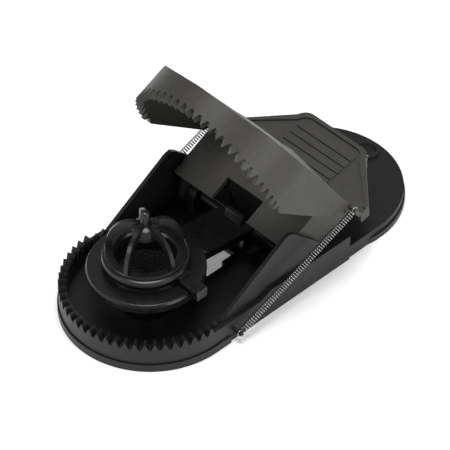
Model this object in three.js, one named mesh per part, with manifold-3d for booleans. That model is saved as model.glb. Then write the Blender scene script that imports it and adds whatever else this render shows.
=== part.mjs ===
// Snap trap with a toothed tray, a sprung jaw with a press lever, and a bait cup on a trigger pedal.
// Millimetres, +Z up, +Y towards the tail. The jaw is drawn shut and then turned back to its set angle.
import * as THREE from 'three';
import { mergeVertices } from 'three/addons/utils/BufferGeometryUtils.js';
import Module from 'manifold-3d';

const wasm = await Module();
wasm.setup();

// Overall layout: the tray's round front is centred on y = 0 here, and the group is shifted at the end.
const FRONT_R = 24;
const TAIL_R = 23.2;
const TAIL_Y = 60;
const ORIGIN_Y = (TAIL_Y + TAIL_R - FRONT_R) / 2;
const FLOOR_T = 1.8;
const DECK_T = 3.9;
const SIDE_X = 23.4;
const TEETH = 29;
const TOOTH_ANGLE = Math.PI / TEETH;
const TOOTH_PITCH = 2.45;
const ARC_STEPS = TEETH;

// Tray rim, rails and cheeks
const RIM = { outer: 23.6, inner: 21.4, root: 6.9, tip: 8.9, end: 5 };
const CHEEK = { inner: 21.2, outer: 22.3 };
const SLOT = { wide: 3.8, narrow: 2.4, start: 16, step: 22.5, end: 27 };
const WELL = { r: 6.8, floor: 0.6 };
const TAIL_HOLE = { y: 78.5, r: 2.6, rimR: 3.6, rimT: 0.5 };

// Jaw, in its shut position
const HINGE = { y: 32.8, z: 6.3, pinR: 1.2, holeR: 1.5, pinHalf: 20.9 };
const SET_ANGLE = THREE.MathUtils.degToRad(-64.05);
const JAW = {
  outer: 23.9, inner: 22.6, bandInner: 20.9, root: 9.4, bandTop: 10.6, tip: 7.4, end: 1.1, back: 34,
};
const BOW = 0.0041;
const DOME = { rise: 3.2, front: -20, back: 36 };
const WINDOW = { r: 14.2, y: -1.2 };
const PANEL = { half: 20.5, notchHalf: 6.5 };
const LEG = { inner: 18.7, outer: 20.5, bossR: 4.2 };
const POST = { inner: 15.6, outer: 18.2, r: 3.2 };
const LEVER = {
  rootY: 33.52, rootZ: 26.28, lean: 0.264, length: 16.4, shoulder: 3, rootHalf: 23.9, tipHalf: 11.4,
  corner: 2.6, thickness: 1.5, skirt: 3.2, lip: 1.2, lipT: 0.5,
  ribHalf: 10, ribs: 5, ribPitch: 2.6, ribEnd: 13.1,
};

// Trigger pedal, bait cup and cage share one upright axis
const CUP_Y = -1.5;
const PEDAL = { half: 6, ribInner: 4.4, armBack: 30.4, armT: 1.4 };
const PEDAL_PIN = { y: 28.9, z: 3.6, r: 0.7, holeR: 1, half: 8.8 };
const CAGE = {
  fins: 5, finT: 1.1, ringZ: 19.6, hubR: 3.3, hubZ: 25, hubTop: 28.9, nubR: 1.35, nubTop: 33.3,
};

// Springs: one hook on the tray and one on the jaw, each side
const SPRING = {
  x: 25.2, r: 0.95, trayY: 7, trayZ: 3, jawY: 27.67, jawZ: 25, pegR: 0.6, pegEnd: 26, hookGap: 1.1,
};

const materials = {
  black: { color: 0x1b1b1c, roughness: 0.55, metalness: 0 },
  jaw: { color: 0x2c2a27, roughness: 0.5, metalness: 0 },
  gloss: { color: 0x171715, roughness: 0.3, metalness: 0 },
  steel: { color: 0xb9bcc0, roughness: 0.3, metalness: 1 },
};

function toSolid(geometry) {
  let g = geometry.clone();
  g.deleteAttribute('normal');
  g.deleteAttribute('uv');
  g = mergeVertices(g, 1e-4);
  const faces = [];
  for (let i = 0; i < g.index.count; i += 3) {
    const face = [g.index.getX(i), g.index.getX(i + 1), g.index.getX(i + 2)];
    if (new Set(face).size === 3) faces.push(...face);
  }
  return new wasm.Manifold(new wasm.Mesh({
    numProp: 3,
    vertProperties: Float32Array.from(g.attributes.position.array),
    triVerts: Uint32Array.from(faces),
  }));
}

function toGeometry(solid) {
  const mesh = solid.getMesh();
  const g = new THREE.BufferGeometry();
  g.setAttribute('position', new THREE.BufferAttribute(mesh.vertProperties, 3));
  g.setIndex(new THREE.BufferAttribute(mesh.triVerts, 1));
  return g;
}

function joinAll(solids) {
  return solids.reduce((sum, solid) => sum.add(solid));
}

function shapeOf(points) {
  return new THREE.Shape(points.map(([u, v]) => new THREE.Vector2(u, v)));
}

// A flat outline in XY, raised from z0 to z1
function slab(shape, z0, z1) {
  const options = { depth: z1 - z0, bevelEnabled: false, curveSegments: ARC_STEPS };
  const g = new THREE.ExtrudeGeometry(shape, options);
  return toSolid(g.translate(0, 0, z0));
}

// A side profile in (y, z), run across from x0 to x1
function across(shape, x0, x1) {
  const g = new THREE.ExtrudeGeometry(shape, { depth: x1 - x0, bevelEnabled: false, curveSegments: 12 });
  const turn = new THREE.Matrix4().makeBasis(
    new THREE.Vector3(0, 1, 0), new THREE.Vector3(0, 0, 1), new THREE.Vector3(1, 0, 0));
  return toSolid(g.applyMatrix4(turn).translate(x0, 0, 0));
}

function bothSides(shape, inner, outer) {
  return across(shape, inner, outer).add(across(shape, -outer, -inner));
}

// Plan outline with a round front and straight sides, closed at y = back
function hoop(halfWidth, frontDepth, back) {
  const sides = [4, 8, 12, 16, 20, 24, 28].filter((y) => y < back);
  const s = new THREE.Shape();
  s.moveTo(halfWidth, back);
  s.lineTo(-halfWidth, back);
  sides.reverse().forEach((y) => s.lineTo(-halfWidth, y));
  s.lineTo(-halfWidth, 0);
  s.absellipse(0, 0, halfWidth, frontDepth, Math.PI, 2 * Math.PI, false, 0);
  sides.reverse().forEach((y) => s.lineTo(halfWidth, y));
  return s;
}

function disc(y, r) {
  const s = new THREE.Shape();
  s.absarc(0, y, r, 0, 2 * Math.PI, false);
  return s;
}

function stadium(frontR, tailR) {
  const s = new THREE.Shape();
  s.absarc(0, 0, frontR, Math.PI, 2 * Math.PI, false);
  s.absarc(0, TAIL_Y, tailR, 0, Math.PI, false);
  return s;
}

// One wedge tooth: pointed towards tipZ, with its ridge running outwards from the hoop's middle
function tooth(angle, y, rootZ, tipZ, inner, outer) {
  const half = RIM.outer * TOOTH_ANGLE * 0.43;
  const flat = 0.12;
  const points = [[-half, rootZ], [-flat, tipZ], [flat, tipZ], [half, rootZ]];
  const shape = shapeOf(tipZ > rootZ ? points : points.reverse());
  const g = new THREE.ExtrudeGeometry(shape, { depth: outer - inner, bevelEnabled: false });
  const out = new THREE.Vector3(Math.cos(angle), Math.sin(angle), 0);
  const along = new THREE.Vector3(-Math.sin(angle), Math.cos(angle), 0);
  const place = new THREE.Matrix4().makeBasis(along, new THREE.Vector3(0, 0, 1), out);
  place.setPosition(out.clone().multiplyScalar(inner).add(new THREE.Vector3(0, y, 0)));
  return toSolid(g.applyMatrix4(place));
}

// Teeth round the front and a few along each straight side. A bowed row rises towards the front.
function toothRow(offset, rootZ, tipZ, inner, outer, end, bow) {
  const row = [];
  for (let i = 0; i + offset <= TEETH; i += 1) {
    const angle = Math.PI + (i + offset) * TOOTH_ANGLE;
    const lift = bow * (outer * Math.sin(angle)) ** 2;
    row.push(tooth(angle, 0, rootZ + lift, tipZ + lift, inner, outer));
  }
  for (let y = offset === 0 ? TOOTH_PITCH : TOOTH_PITCH / 2; y < end; y += TOOTH_PITCH) {
    row.push(tooth(0, y, rootZ, tipZ, inner, outer), tooth(Math.PI, y, rootZ, tipZ, inner, outer));
  }
  return joinAll(row);
}

function cheeks() {
  const profile = shapeOf([[3, 5.5], [38, 5.5], [38, 12], [28.8, 20.8], [27.2, 21.7], [25.5, 21.3],
    [5, 8.4], [3, 6.6]]);
  return bothSides(profile, CHEEK.inner, CHEEK.outer);
}

function rails() {
  const end = 48.2;
  const low = 6.6;
  const high = 8.2;
  const profile = shapeOf([[-1, 0], [end, 0], [end, high], [20, high], [16, low], [-1, low]]);
  return bothSides(profile, CHEEK.outer - 0.6, SIDE_X);
}

function pinHole(y, z, r) {
  const hole = new THREE.Path();
  hole.absarc(y, z, r, 0, 2 * Math.PI, true);
  return hole;
}

function hingePosts() {
  const s = new THREE.Shape();
  s.moveTo(HINGE.y - POST.r - 0.4, 1);
  s.lineTo(HINGE.y + POST.r + 0.4, 1);
  s.lineTo(HINGE.y + POST.r, HINGE.z);
  s.absarc(HINGE.y, HINGE.z, POST.r, 0, Math.PI, false);
  s.holes.push(pinHole(HINGE.y, HINGE.z, HINGE.holeR));
  return bothSides(s, POST.inner, POST.outer);
}

function pedalBosses() {
  const { y, z, half } = PEDAL_PIN;
  const s = shapeOf([[y - 2, 1], [y + 1.5, 1], [y + 1.5, z + 1.6], [y - 1.5, z + 1.6]]);
  s.holes.push(pinHole(y, z, PEDAL_PIN.holeR));
  return bothSides(s, PEDAL.half + 0.5, half - 0.3);
}

function pegs(y, z, from) {
  const s = new THREE.Shape();
  s.absarc(y, z, SPRING.pegR, 0, 2 * Math.PI, false);
  return bothSides(s, from, SPRING.pegEnd);
}

function floorSlot() {
  const { wide, narrow, start, step, end } = SLOT;
  return slab(shapeOf([[-wide, start], [wide, start], [wide, step], [narrow, step], [narrow, end],
    [-narrow, end], [-narrow, step], [-wide, step]]), -1, FLOOR_T + 1);
}

function makeBase() {
  const footStep = 2.3;
  const lipT = 1.7;
  const rimPlan = slab(hoop(RIM.outer, RIM.outer, RIM.end), 0, RIM.tip)
    .subtract(slab(hoop(RIM.inner, RIM.inner, RIM.end + 1), -1, RIM.tip + 1));
  const shaved = shapeOf([[-0.1, RIM.root], [RIM.end, RIM.root], [RIM.end, 12], [-0.1, 12]]);
  const rim = rimPlan.intersect(slab(hoop(FRONT_R, FRONT_R, RIM.end), 0, RIM.root))
    .add(toothRow(0.5, RIM.root - 0.2, RIM.tip, RIM.inner - 1, RIM.outer + 1, RIM.end, 0).intersect(rimPlan)
      .subtract(bothSides(shaved, CHEEK.outer, 30)));
  const deckStart = shapeOf([[-SIDE_X, 46], [SIDE_X, 46], [SIDE_X, TAIL_Y], [-SIDE_X, TAIL_Y]]);
  const deck = slab(stadium(SIDE_X, TAIL_R - 0.4), 0, DECK_T).intersect(
    slab(deckStart, 0, DECK_T).add(slab(disc(TAIL_Y, TAIL_R), 0, DECK_T)));
  const foot = slab(hoop(FRONT_R, FRONT_R, 5.2), 0, footStep)
    .subtract(slab(hoop(RIM.inner, RIM.inner, 7), -1, footStep + 1));
  const tailLip = slab(stadium(SIDE_X, TAIL_R), 0, lipT)
    .intersect(slab(disc(TAIL_Y, TAIL_R + 0.1), 0, lipT));
  return joinAll([
    slab(stadium(RIM.outer, TAIL_R - 0.4), 0, FLOOR_T), rim, deck, foot, tailLip, rails(), cheeks(),
    hingePosts(), pedalBosses(), pegs(SPRING.trayY, SPRING.trayZ, SIDE_X - 1),
    slab(disc(TAIL_HOLE.y, TAIL_HOLE.rimR), 0, DECK_T + TAIL_HOLE.rimT),
  ]).subtract(slab(disc(TAIL_HOLE.y, TAIL_HOLE.r), -1, DECK_T + 2)).subtract(floorSlot())
    .subtract(slab(disc(CUP_Y, WELL.r), WELL.floor, FLOOR_T + 1));
}

// Side view of the whole jaw shell when shut: the top falls gently to the front, and the tooth line rises
function topHeight(y) {
  return 20.67 + 0.1614 * y + 0.0005 * y * y;
}

function topEdge(from, to, step) {
  const line = [];
  for (let y = from; y >= to; y -= step) line.push([y, topHeight(y)]);
  return line;
}

// Runs a side profile across the jaw and swells it upwards along the middle, into a shallow dome
function domed(points) {
  const half = 24.5;
  const g = new THREE.ExtrudeGeometry(shapeOf(points), { depth: 2 * half, steps: 14, bevelEnabled: false });
  const turn = new THREE.Matrix4().makeBasis(
    new THREE.Vector3(0, 1, 0), new THREE.Vector3(0, 0, 1), new THREE.Vector3(1, 0, 0));
  g.applyMatrix4(turn).translate(-half, 0, 0);
  const p = g.attributes.position;
  for (let i = 0; i < p.count; i += 1) {
    const along = THREE.MathUtils.clamp((p.getY(i) - DOME.front) / (DOME.back - DOME.front), 0, 1);
    const across2 = Math.min(1, (p.getX(i) / JAW.inner) ** 2);
    p.setZ(i, p.getZ(i) + DOME.rise * Math.sin(Math.PI * along) * (1 - across2));
  }
  return toSolid(g);
}

function toothLine(z, end) {
  const line = [];
  for (let y = -25; y < 0; y += 5) line.push([y, z + BOW * y * y]);
  return [...line, [0, z], [end, z]];
}

function jawWalls() {
  const { root, tip, end, bandTop, bandInner, inner, outer, back } = JAW;
  const profile = shapeOf([...toothLine(root, end), [end, 8.6], [3.1, 8.15], [23.45, 19], [26.2, 23.2],
    [29.2, 23.4], [29.7, 25.8], ...topEdge(28, -24.5, 3.5)]);
  const outside = slab(hoop(outer, outer, back), 5, 30);
  const shell = outside.subtract(slab(hoop(inner, inner, back + 1), 4, 31))
    .intersect(across(profile, -30, 30));
  const band = outside.subtract(slab(hoop(inner, bandInner, back + 1), 4, 31));
  const bandSide = across(shapeOf([...toothLine(root, end), ...toothLine(bandTop, end).reverse()]), -30, 30);
  const row = toothRow(0, root + 0.2, tip, bandInner - 2, outer + 1, end, BOW);
  return joinAll([shell, band.intersect(bandSide), row.intersect(band)]);
}

function jawTop() {
  const t = 1.2;
  const edge = topEdge(JAW.back, -24.5, 4.5);
  const under = edge.map(([y, z]) => [y, z - t]).reverse();
  return domed([...under, ...edge])
    .intersect(slab(hoop(JAW.outer, JAW.outer, JAW.back), 5, 30))
    .subtract(slab(disc(WINDOW.y, WINDOW.r), 5, 40));
}

// The panel closes the back of the bucket, with a notch that clears the pedal's arm
function jawPanel() {
  const { half, notchHalf } = PANEL;
  const belowTop = domed([[18, 0], [27, 0], ...topEdge(27, 18, 3).map(([y, z]) => [y, z - 0.5])]);
  const section = shapeOf([[22.29, 5.13], [23.68, 5.2], [22.7, 29], [21.3, 29]]);
  const wall = across(section, -half, half).intersect(belowTop);
  const notch = across(shapeOf([[21, 4], [25, 4], [25, 12.2], [21, 12.1]]), -notchHalf, notchHalf);
  return wall.subtract(notch);
}

function jawLegs() {
  const s = new THREE.Shape();
  s.moveTo(21.8, 24);
  s.lineTo(22.2, 9.7);
  s.lineTo(24, 8.4);
  s.lineTo(HINGE.y - 2.7, HINGE.z - 3.2);
  s.absarc(HINGE.y, HINGE.z, LEG.bossR, 1.28 * Math.PI, 2 * Math.PI, false);
  s.lineTo(34.2, 22);
  s.lineTo(33.6, 25.8);
  s.holes.push(pinHole(HINGE.y, HINGE.z, HINGE.holeR));
  return bothSides(s, LEG.inner, LEG.outer);
}

function leverOutline(inset, from) {
  const { rootHalf, tipHalf, length, shoulder, corner } = LEVER;
  const wide = rootHalf - inset;
  const narrow = tipHalf - inset;
  const end = length - inset;
  const s = new THREE.Shape();
  s.moveTo(-wide, from);
  s.lineTo(wide, from);
  s.lineTo(wide, shoulder);
  s.lineTo(narrow + 1.1, end - corner);
  s.quadraticCurveTo(narrow, end, narrow - corner, end);
  s.lineTo(corner - narrow, end);
  s.quadraticCurveTo(-narrow, end, -narrow - 1.1, end - corner);
  s.lineTo(-wide, shoulder);
  return s;
}

// The press lever stands up behind the shut jaw: a tapered plate with a raised edge, side skirts and ribs
function jawLever() {
  const { ribHalf, ribs, ribPitch, ribEnd, thickness, skirt, lip, lipT } = LEVER;
  const body = slab(leverOutline(0, 0), -skirt, 0)
    .subtract(slab(leverOutline(thickness, -5), -skirt - 1, -thickness));
  const sideEnd = LEVER.length - 2;
  const sideOnly = slab(shapeOf([[-30, -1], [30, -1], [30, sideEnd], [-30, sideEnd]]), -9, 9);
  const edge = slab(leverOutline(0, LEVER.shoulder - 1), -0.2, lipT)
    .subtract(slab(leverOutline(lip, LEVER.shoulder - 2), -1, 2));
  const parts = [body.intersect(sideOnly), slab(leverOutline(0, 0), -thickness, 0), edge];
  for (let i = 0; i < ribs; i += 1) {
    const y = ribEnd - i * ribPitch;
    const front = y - ribPitch + 0.4;
    const rib = shapeOf([[front, -0.1], [y, -0.1], [y, 0.35], [front + 0.2, 0.35]]);
    parts.push(across(rib, -ribHalf, ribHalf));
  }
  const stand = new THREE.Matrix4().makeTranslation(0, LEVER.rootY, LEVER.rootZ)
    .multiply(new THREE.Matrix4().makeRotationX(Math.PI / 2 - LEVER.lean));
  return joinAll(parts).transform(stand.toArray());
}

function makeJaw() {
  const solid = joinAll([jawWalls(), jawTop(), jawPanel(), jawLegs(), jawLever(),
    pegs(SPRING.jawY, SPRING.jawZ, JAW.inner)]);
  return solid.translate([0, -HINGE.y, -HINGE.z]);
}

function lathe(points, z0 = 0) {
  const g = new THREE.LatheGeometry(points.map(([r, z]) => new THREE.Vector2(r, z + z0)), 40);
  return toSolid(g.rotateX(Math.PI / 2).translate(0, CUP_Y, 0));
}

function makeCup() {
  const bowl = lathe([[0, 11.8], [4.2, 11.8], [4.2, 2.2], [5.6, 2.2], [7.2, 8], [8.8, 16.6], [11, 17.4],
    [11.3, 18.2], [11, 19], [10.2, 19.3], [8.4, 19.2], [7.9, 18.6], [7.4, 13], [0, 13]]);
  const tab = slab(shapeOf([[11, -0.9], [18, -0.9], [18, 2.6], [11, 2.6]]), 15.9, 17.2);
  const riser = slab(shapeOf([[9, -0.9], [12, -0.9], [12, 2.6], [9, 2.6]]), 16.6, 18);
  const grip = slab(shapeOf([[15.8, -0.9], [18, -0.9], [18, 2.6], [15.8, 2.6]]), 14.2, 16);
  return joinAll([bowl, tab, riser.subtract(lathe([[0, 0], [9, 0], [9, 30], [0, 30]])), grip]);
}

// One rib of the cage, between two quarter ellipses
function cageFin() {
  const { ringZ, finT } = CAGE;
  const s = new THREE.Shape();
  s.moveTo(10.3, ringZ);
  s.absellipse(3, ringZ, 7.3, 10.1, 0, Math.PI / 2, false, 0);
  s.lineTo(1.5, ringZ + 9.8);
  s.lineTo(1.5, ringZ + 7.4);
  s.lineTo(3, ringZ + 7.8);
  s.absellipse(3, ringZ, 5.7, 7.8, Math.PI / 2, 0, true, 0);
  const g = new THREE.ExtrudeGeometry(s, { depth: finT, bevelEnabled: false, curveSegments: 10 });
  return g.translate(0, 0, -finT / 2).rotateX(Math.PI / 2);
}

function makeCage() {
  const { fins, ringZ, hubR, hubZ, hubTop, nubR, nubTop } = CAGE;
  const ring = lathe([[8.1, ringZ], [10.5, ringZ], [10.5, ringZ + 0.2], [10.2, ringZ + 0.5],
    [8.4, ringZ + 0.5], [8.1, ringZ + 0.3], [8.1, ringZ]]);
  const hub = lathe([[0, hubZ], [hubR - 0.5, hubZ], [hubR, hubZ + 0.5], [hubR, hubTop - 0.5],
    [hubR - 0.6, hubTop], [nubR + 0.2, hubTop + 0.2], [nubR, hubTop + 0.6], [nubR, nubTop - 0.9],
    [nubR - 0.4, nubTop - 0.2], [nubR - 0.9, nubTop], [0, nubTop]]);
  const parts = [ring, hub];
  for (let i = 0; i < fins; i += 1) {
    parts.push(toSolid(cageFin().rotateZ((2 * Math.PI * i) / fins).translate(0, CUP_Y, 0)));
  }
  return joinAll(parts);
}

function makePedal() {
  const { half, ribInner, armBack, armT } = PEDAL;
  const { y, z, holeR } = PEDAL_PIN;
  const ring = lathe([[9.3, 14.2], [14.4, 14.2], [14.4, 12.7], [15.2, 12.7], [15.3, 14.6], [15, 15.2],
    [14.4, 15.4], [10.6, 15.4], [10.5, 16.2], [9.9, 16.3], [9.3, 16.3], [9.3, 14.2]]);
  const plate = shapeOf([[10.5, 14.7 - armT], [14, 13 - armT], [armBack, 10.7 - armT], [armBack, 10.7],
    [14, 13], [10.5, 14.7]]);
  const legs = new THREE.Shape();
  legs.moveTo(y - 1.5, z);
  legs.absarc(y, z, 1.4, Math.PI, 2 * Math.PI, false);
  legs.lineTo(y + 1.4, 10);
  legs.lineTo(y - 2.4, 10);
  legs.holes.push(pinHole(y, z, holeR));
  const rib = shapeOf([[13, 10.8], [armBack, 8.6], [armBack, 10], [13, 12.4]]);
  const sear = across(shapeOf([[y - 1, 10], [y + 1.5, 10], [y + 1.4, 13], [y + 0.4, 13]]), -3, 3);
  return joinAll([ring, bothSides(legs, ribInner, half), bothSides(rib, ribInner, half), sear,
    across(plate, -half, half).subtract(lathe([[0, 0], [12.5, 0], [12.5, 20], [0, 20]]))]);
}

function pin(y, z, r, half) {
  return new THREE.CylinderGeometry(r, r, 2 * half, 20).rotateZ(Math.PI / 2).translate(0, y, z);
}

// Each spring is drawn as the closed sleeve that its coils fill, between the two hooks
function springSleeve() {
  const span = Math.hypot(jawHook.y - SPRING.trayY, jawHook.z - SPRING.trayZ) - 2 * SPRING.hookGap;
  return new THREE.CylinderGeometry(SPRING.r, SPRING.r, span, 12);
}

function turned(y, z, angle) {
  const dy = y - HINGE.y;
  const dz = z - HINGE.z;
  return {
    y: HINGE.y + dy * Math.cos(angle) - dz * Math.sin(angle),
    z: HINGE.z + dy * Math.sin(angle) + dz * Math.cos(angle),
  };
}

const jawHook = turned(SPRING.jawY, SPRING.jawZ, SET_ANGLE);
const trap = new THREE.Group();
trap.position.y = -ORIGIN_Y;

function addMesh(name, geometry, finish, parent = trap) {
  const mesh = new THREE.Mesh(geometry, new THREE.MeshStandardMaterial(materials[finish]));
  mesh.name = name;
  parent.add(mesh);
  return mesh;
}

addMesh('base', toGeometry(makeBase()), 'black');
addMesh('hinge_pin', pin(HINGE.y, HINGE.z, HINGE.pinR, HINGE.pinHalf), 'black');
addMesh('pedal_pin', pin(PEDAL_PIN.y, PEDAL_PIN.z, PEDAL_PIN.r, PEDAL_PIN.half), 'black');
addMesh('pedal', toGeometry(makePedal()), 'gloss');
addMesh('bait_cup', toGeometry(makeCup()), 'gloss');
addMesh('bait_cage', toGeometry(makeCage()), 'gloss');

const jawGroup = new THREE.Group();
jawGroup.position.set(0, HINGE.y, HINGE.z);
jawGroup.rotation.x = SET_ANGLE;
trap.add(jawGroup);
addMesh('jaw', toGeometry(makeJaw()), 'jaw', jawGroup);

for (const [name, side] of [['spring_left', -1], ['spring_right', 1]]) {
  const mesh = addMesh(name, springSleeve(), 'steel');
  mesh.position.set(side * SPRING.x, (jawHook.y + SPRING.trayY) / 2, (jawHook.z + SPRING.trayZ) / 2);
  mesh.rotation.x = Math.atan2(jawHook.z - SPRING.trayZ, jawHook.y - SPRING.trayY);
}

export default trap;
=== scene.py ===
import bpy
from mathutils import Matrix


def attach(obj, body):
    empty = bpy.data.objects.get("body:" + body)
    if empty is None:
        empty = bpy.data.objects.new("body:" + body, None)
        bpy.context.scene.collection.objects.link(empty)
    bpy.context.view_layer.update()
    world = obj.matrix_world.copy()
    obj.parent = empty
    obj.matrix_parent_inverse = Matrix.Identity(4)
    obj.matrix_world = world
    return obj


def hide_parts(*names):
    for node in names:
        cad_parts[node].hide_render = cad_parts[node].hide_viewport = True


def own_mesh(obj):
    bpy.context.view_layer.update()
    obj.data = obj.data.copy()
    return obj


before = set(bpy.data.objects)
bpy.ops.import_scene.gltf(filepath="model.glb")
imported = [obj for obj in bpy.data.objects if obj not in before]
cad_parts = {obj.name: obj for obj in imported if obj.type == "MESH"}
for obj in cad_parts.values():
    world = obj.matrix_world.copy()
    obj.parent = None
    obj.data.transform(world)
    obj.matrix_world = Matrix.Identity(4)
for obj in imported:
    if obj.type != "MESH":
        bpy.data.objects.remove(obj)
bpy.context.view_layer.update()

import math

import bmesh
import bpy
from mathutils import Matrix, Vector

mm = 0.001
print("frame loaded:", ", ".join(sorted(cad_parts)))

# Camera
view = {
    "place": (0.3864, -0.3747, 0.5135),
    "tilt": 46.82,        # degrees down from level is 90 less this
    "turn": 46.16,
    "lens": 228.65,
}
cameraData = bpy.data.cameras.new("camera")
cameraData.lens = view["lens"]
cameraData.sensor_width = 36
cameraData.clip_start = 0.01
cameraData.clip_end = 20
camera = bpy.data.objects.new("camera", cameraData)
camera.location = view["place"]
camera.rotation_euler = (math.radians(view["tilt"]), 0, math.radians(view["turn"]))
bpy.context.scene.collection.objects.link(camera)
bpy.context.scene.camera = camera
bpy.context.scene.view_settings.view_transform = "Standard"
print("camera set")


# Floor and light
studio = {
    "floorHalf": 3.0,
    "floorShade": 0.93,
    "floorGlow": 0.2,
    "skyStrength": 0.36,
    "lamps": [
        # name, place, size, power, aim
        ("overheadPanel", (0.0, 0.0, 1.6), 0.7, 15, (0, 0, 0)),
        ("rightPanel", (1.3, 0.1, 0.42), 0.6, 6.5, (0, 0, 0.03)),
        ("frontPanel", (-0.35, -1.2, 0.5), 0.45, 5, (0, 0, 0.02)),
    ],
}


def makeFloor():
    bm = bmesh.new()
    bmesh.ops.create_grid(bm, x_segments=1, y_segments=1, size=studio["floorHalf"])
    mesh = bpy.data.meshes.new("floor")
    bm.to_mesh(mesh)
    bm.free()
    floor = bpy.data.objects.new("floor", mesh)
    bpy.context.scene.collection.objects.link(floor)
    material = bpy.data.materials.new("palePaper")
    material.use_nodes = True
    paper = material.node_tree.nodes["Principled BSDF"]
    shade = studio["floorShade"]
    paper.inputs["Base Color"].default_value = (shade, shade, shade, 1)
    paper.inputs["Roughness"].default_value = 0.9
    paper.inputs["Specular IOR Level"].default_value = 0.1
    paper.inputs["Emission Color"].default_value = (1, 1, 1, 1)
    paper.inputs["Emission Strength"].default_value = studio["floorGlow"]
    mesh.materials.append(material)


def hangLamps():
    for name, place, size, power, aim in studio["lamps"]:
        data = bpy.data.lights.new(name, "AREA")
        data.shape = "SQUARE"
        data.size = size
        data.energy = power
        lamp = bpy.data.objects.new(name, data)
        lamp.location = place
        lamp.rotation_euler = (Vector(aim) - Vector(place)).to_track_quat("-Z", "Y").to_euler()
        bpy.context.scene.collection.objects.link(lamp)
    sky = bpy.data.worlds.new("studioAir")
    sky.use_nodes = True
    air = sky.node_tree.nodes["Background"]
    air.inputs["Color"].default_value = (1, 1, 1, 1)
    air.inputs["Strength"].default_value = studio["skyStrength"]
    bpy.context.scene.world = sky


makeFloor()
hangLamps()
print("floor and lamps ready")


# Materials
def startMaterial(name):
    material = bpy.data.materials.new(name)
    material.use_nodes = True
    tree = material.node_tree
    coords = tree.nodes.new("ShaderNodeTexCoord")
    return material, tree, tree.nodes["Principled BSDF"], coords.outputs["Object"]


def addNoise(tree, coords, scale, detail=2.0, rough=0.5):
    noise = tree.nodes.new("ShaderNodeTexNoise")
    noise.inputs["Scale"].default_value = scale
    noise.inputs["Detail"].default_value = detail
    noise.inputs["Roughness"].default_value = rough
    tree.links.new(coords, noise.inputs["Vector"])
    return noise.outputs["Fac"]


def mapRange(tree, source, low, high, fromLow=0.3, fromHigh=0.7):
    ranger = tree.nodes.new("ShaderNodeMapRange")
    ranger.inputs["From Min"].default_value = fromLow
    ranger.inputs["From Max"].default_value = fromHigh
    ranger.inputs["To Min"].default_value = low
    ranger.inputs["To Max"].default_value = high
    tree.links.new(source, ranger.inputs["Value"])
    return ranger.outputs["Result"]


def mixColours(tree, mask, first, second):
    mix = tree.nodes.new("ShaderNodeMix")
    mix.data_type = "RGBA"
    mix.inputs["A"].default_value = (*first, 1)
    mix.inputs["B"].default_value = (*second, 1)
    tree.links.new(mask, mix.inputs["Factor"])
    return mix.outputs["Result"]


def addBump(tree, height, strength, depth, normal=None):
    bump = tree.nodes.new("ShaderNodeBump")
    bump.inputs["Strength"].default_value = strength
    bump.inputs["Distance"].default_value = depth
    tree.links.new(height, bump.inputs["Height"])
    if normal:
        tree.links.new(normal, bump.inputs["Normal"])
    return bump.outputs["Normal"]


def mouldedPlastic(name, look):
    material, tree, shader, coords = startMaterial(name)
    shader.inputs["Base Color"].default_value = (*look["colour"], 1)
    shader.inputs["Roughness"].default_value = look["roughness"]
    shader.inputs["Specular IOR Level"].default_value = look["shine"]
    sink = addNoise(tree, coords, look["sinkScale"], 1.0)
    grain = addNoise(tree, coords, look["grainScale"], 3.0, 0.6)
    normal = addBump(tree, sink, 0.35, look["sinkDepth"])
    normal = addBump(tree, grain, look["grainStrength"], look["grainDepth"], normal)
    tree.links.new(normal, shader.inputs["Normal"])
    haze = addNoise(tree, coords, look["hazeScale"], 4.0, 0.65)
    spread = look["hazeSpread"]
    tree.links.new(mapRange(tree, haze, look["roughness"] - spread, look["roughness"] + spread),
                   shader.inputs["Roughness"])
    dust = addNoise(tree, coords, look["dustScale"], 5.0, 0.7)
    dustMask = mapRange(tree, dust, 0.0, 1.0, 0.42, 0.72)
    colour = mixColours(tree, dustMask, look["colour"], look["dustColour"])
    tree.links.new(colour, shader.inputs["Base Color"])
    return material


trayPlastic = mouldedPlastic("trayBlackPlastic", {
    "colour": (0.0085, 0.0085, 0.0088), "dustColour": (0.0135, 0.0135, 0.0135),
    "roughness": 0.42, "shine": 0.3,
    "sinkScale": 70, "sinkDepth": 0.05 * mm,
    "grainScale": 5200, "grainStrength": 0.16, "grainDepth": 0.02 * mm,
    "hazeScale": 180, "hazeSpread": 0.05, "dustScale": 900,
})
cupPlastic = mouldedPlastic("cupGlossBlack", {
    "colour": (0.0065, 0.0065, 0.0066), "dustColour": (0.009, 0.009, 0.009),
    "roughness": 0.26, "shine": 0.38,
    "sinkScale": 110, "sinkDepth": 0.03 * mm,
    "grainScale": 4200, "grainStrength": 0.06, "grainDepth": 0.012 * mm,
    "hazeScale": 240, "hazeSpread": 0.05, "dustScale": 1100,
})
jawPlastic = mouldedPlastic("jawWarmGrey", {
    "colour": (0.036, 0.0345, 0.0305), "dustColour": (0.047, 0.045, 0.040),
    "roughness": 0.46, "shine": 0.42,
    "sinkScale": 60, "sinkDepth": 0.06 * mm,
    "grainScale": 6400, "grainStrength": 0.3, "grainDepth": 0.03 * mm,
    "hazeScale": 150, "hazeSpread": 0.04, "dustScale": 700,
})


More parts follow.
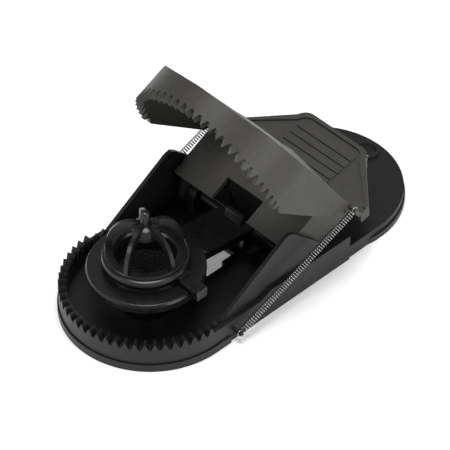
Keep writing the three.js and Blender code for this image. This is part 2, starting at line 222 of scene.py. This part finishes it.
def drawnSteel(name, look):
    material, tree, shader, coords = startMaterial(name)
    shader.inputs["Base Color"].default_value = (*look["colour"], 1)
    shader.inputs["Metallic"].default_value = 1.0
    shader.inputs["Roughness"].default_value = look["roughness"]
    draw = addNoise(tree, coords, look["drawScale"], 3.0, 0.6)
    tree.links.new(mapRange(tree, draw, look["roughness"] - 0.08, look["roughness"] + 0.12),
                   shader.inputs["Roughness"])
    tarnish = addNoise(tree, coords, look["tarnishScale"], 4.0, 0.6)
    mask = mapRange(tree, tarnish, 0.0, 1.0, 0.5, 0.75)
    colour = mixColours(tree, mask, look["colour"], look["tarnish"])
    tree.links.new(colour, shader.inputs["Base Color"])
    tree.links.new(addBump(tree, draw, 0.2, 0.01 * mm), shader.inputs["Normal"])
    return material


springSteel = drawnSteel("springWire", {
    "colour": (0.32, 0.325, 0.33), "tarnish": (0.2, 0.195, 0.185), "roughness": 0.22,
    "drawScale": 3000, "tarnishScale": 300,
})
print("materials mixed")


# Moulded pieces: each is the frame's own solid, merged, with its round walls shaded smooth
def newPiece(name, bm, material, body):
    mesh = bpy.data.meshes.new(name)
    bm.to_mesh(mesh)
    bm.free()
    piece = bpy.data.objects.new(name, mesh)
    bpy.context.scene.collection.objects.link(piece)
    mesh.materials.append(material)
    mesh.shade_smooth()
    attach(piece, body)
    return piece


def smoothedCopy(node, name, material, body, look):
    bm = bmesh.new()
    bm.from_mesh(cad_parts[node].data)
    bmesh.ops.remove_doubles(bm, verts=bm.verts, dist=look["weld"])
    bmesh.ops.dissolve_degenerate(bm, edges=bm.edges, dist=look["weld"])
    bmesh.ops.dissolve_limit(bm, angle_limit=math.radians(look["flatAngle"]),
                             verts=bm.verts, edges=bm.edges)
    piece = newPiece(name, bm, material, body)
    piece.data.set_sharp_from_angle(angle=math.radians(look["creaseAngle"]))
    rounding = piece.modifiers.new("roundedEdges", "BEVEL")
    rounding.width = look["edgeWidth"]
    rounding.segments = 2
    rounding.limit_method = "ANGLE"
    rounding.angle_limit = math.radians(look["creaseAngle"])
    rounding.use_clamp_overlap = True
    evener = piece.modifiers.new("evenShade", "WEIGHTED_NORMAL")
    evener.keep_sharp = True
    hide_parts(node)


moulded = {"weld": 0.002 * mm, "flatAngle": 1.0, "creaseAngle": 32, "edgeWidth": 0.12 * mm}
mouldings = [
    # CAD node, piece, material, slot, body
    ("base", "tray", trayPlastic, "black", "base"),
    ("jaw", "jawShell", jawPlastic, "warm_grey", "jaw"),
    ("pedal", "triggerPlate", cupPlastic, "gloss", "pedal"),
    ("bait_cup", "baitBowl", cupPlastic, "gloss", "bait"),
    ("bait_cage", "baitDome", cupPlastic, "gloss", "bait"),
    ("hinge_pin", "hingeRod", trayPlastic, "black", "base"),
    ("pedal_pin", "pedalRod", trayPlastic, "black", "base"),
]
for node, name, material, slot, body in mouldings:
    smoothedCopy(node, name, material, body, moulded)
print("moulded pieces done")


# Small moulded details
pebble = {
    "centre": (0, -31.1 * mm, 13.0 * mm),
    "count": 78,
    "spacing": 0.74 * mm,
    "goldenTurn": math.radians(137.508),
    "ownTurn": 0.7,
    "size": 0.4 * mm,
    "lift": 0.1 * mm,
}
sidePip = {
    "y": 1.8 * mm,
    "z": 1.5 * mm,
    "face": 23.4 * mm,
    "radius": 0.38 * mm,
    "tipShare": 0.6,
    "stands": 0.2 * mm,
}


def pebbleCupFloor():
    bm = bmesh.new()
    cx, cy, cz = pebble["centre"]
    for i in range(pebble["count"]):
        reach = pebble["spacing"] * math.sqrt(i + 0.3)
        angle = i * pebble["goldenTurn"]
        spot = (cx + reach * math.cos(angle), cy + reach * math.sin(angle), cz + pebble["lift"])
        place = Matrix.Translation(spot) @ Matrix.Rotation(i * pebble["ownTurn"], 4, "Z")
        bmesh.ops.create_icosphere(bm, subdivisions=1, radius=pebble["size"], matrix=place)
    newPiece("cupPebbles", bm, cupPlastic, "bait")


def addSidePips():
    bm = bmesh.new()
    for side in (-1, 1):
        spot = Matrix.Translation((side * sidePip["face"], sidePip["y"], sidePip["z"]))
        place = spot @ Matrix.Rotation(side * math.radians(90), 4, "Y")
        bmesh.ops.create_cone(bm, cap_ends=True, segments=20, radius1=sidePip["radius"],
                              radius2=sidePip["radius"] * sidePip["tipShare"],
                              depth=sidePip["stands"] * 2, matrix=place)
    newPiece("sidePips", bm, trayPlastic, "base")


pebbleCupFloor()
addSidePips()
print("small details done")


# Springs: a wound coil from the tray's peg to the jaw's, with a round hook on each peg
spring = {
    "sideX": 25.2 * mm,
    "trayPeg": (-22.6 * mm, 3.0 * mm),       # y, z
    "jawPeg": (17.78 * mm, 19.1 * mm),
    "wireRadius": 0.19 * mm,
    "coilRadius": 0.75 * mm,
    "turns": 58,
    "stepsPerTurn": 14,
    "wireSides": 7,
    "hookRadius": 0.84 * mm,
    "hookGap": 1.15 * mm,
    "hookTurn": 330,
    "hookSteps": 26,
    "hookThinner": 0.95,
    "shutShare": 0.694,
}


def sweptWire(bm, start, axis, centre, radius, degrees, steps, sides, climb=(0, 0, 0)):
    ring = bmesh.ops.create_circle(bm, cap_ends=True, segments=sides, radius=radius)["verts"]
    faceAlong = axis.cross(start - centre).normalized()
    turn = faceAlong.to_track_quat("Z", "Y").to_matrix().to_4x4()
    bmesh.ops.transform(bm, matrix=Matrix.Translation(start) @ turn, verts=ring)
    cap = [f for f in bm.faces if all(v in ring for v in f.verts)]
    loop = ring[:] + list({e for v in ring for e in v.link_edges}) + cap
    bmesh.ops.spin(bm, geom=loop, cent=centre, axis=axis, dvec=Vector(climb), angle=math.radians(degrees),
                   steps=steps, use_duplicate=False)


def windSpring(name, side, node):
    trayEnd = Vector((side * spring["sideX"], *spring["trayPeg"]))
    jawEnd = Vector((side * spring["sideX"], *spring["jawPeg"]))
    along = (jawEnd - trayEnd).normalized()
    first = trayEnd + along * spring["hookGap"]
    length = (jawEnd - trayEnd).length - 2 * spring["hookGap"]
    bm = bmesh.new()
    turns = spring["turns"]
    steps = turns * spring["stepsPerTurn"]
    sideways = Vector((1, 0, 0))
    sweptWire(bm, first + sideways * spring["coilRadius"], along, first, spring["wireRadius"],
              360 * turns, steps, spring["wireSides"], along * (length / steps))
    for peg, way in ((trayEnd, 1), (jawEnd, -1)):
        inner = peg + along * way * spring["hookRadius"]
        sweptWire(bm, inner, sideways, peg, spring["wireRadius"] * spring["hookThinner"],
                  spring["hookTurn"], spring["hookSteps"], spring["wireSides"])
    bmesh.ops.remove_doubles(bm, verts=bm.verts, dist=0.00001 * mm)
    bmesh.ops.recalc_face_normals(bm, faces=bm.faces)
    coil = newPiece(name, bm, springSteel, node)
    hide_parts(node)
    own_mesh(coil)


windSpring("leftCoil", -1, "spring_left")
windSpring("rightCoil", 1, "spring_right")
print("springs wound")
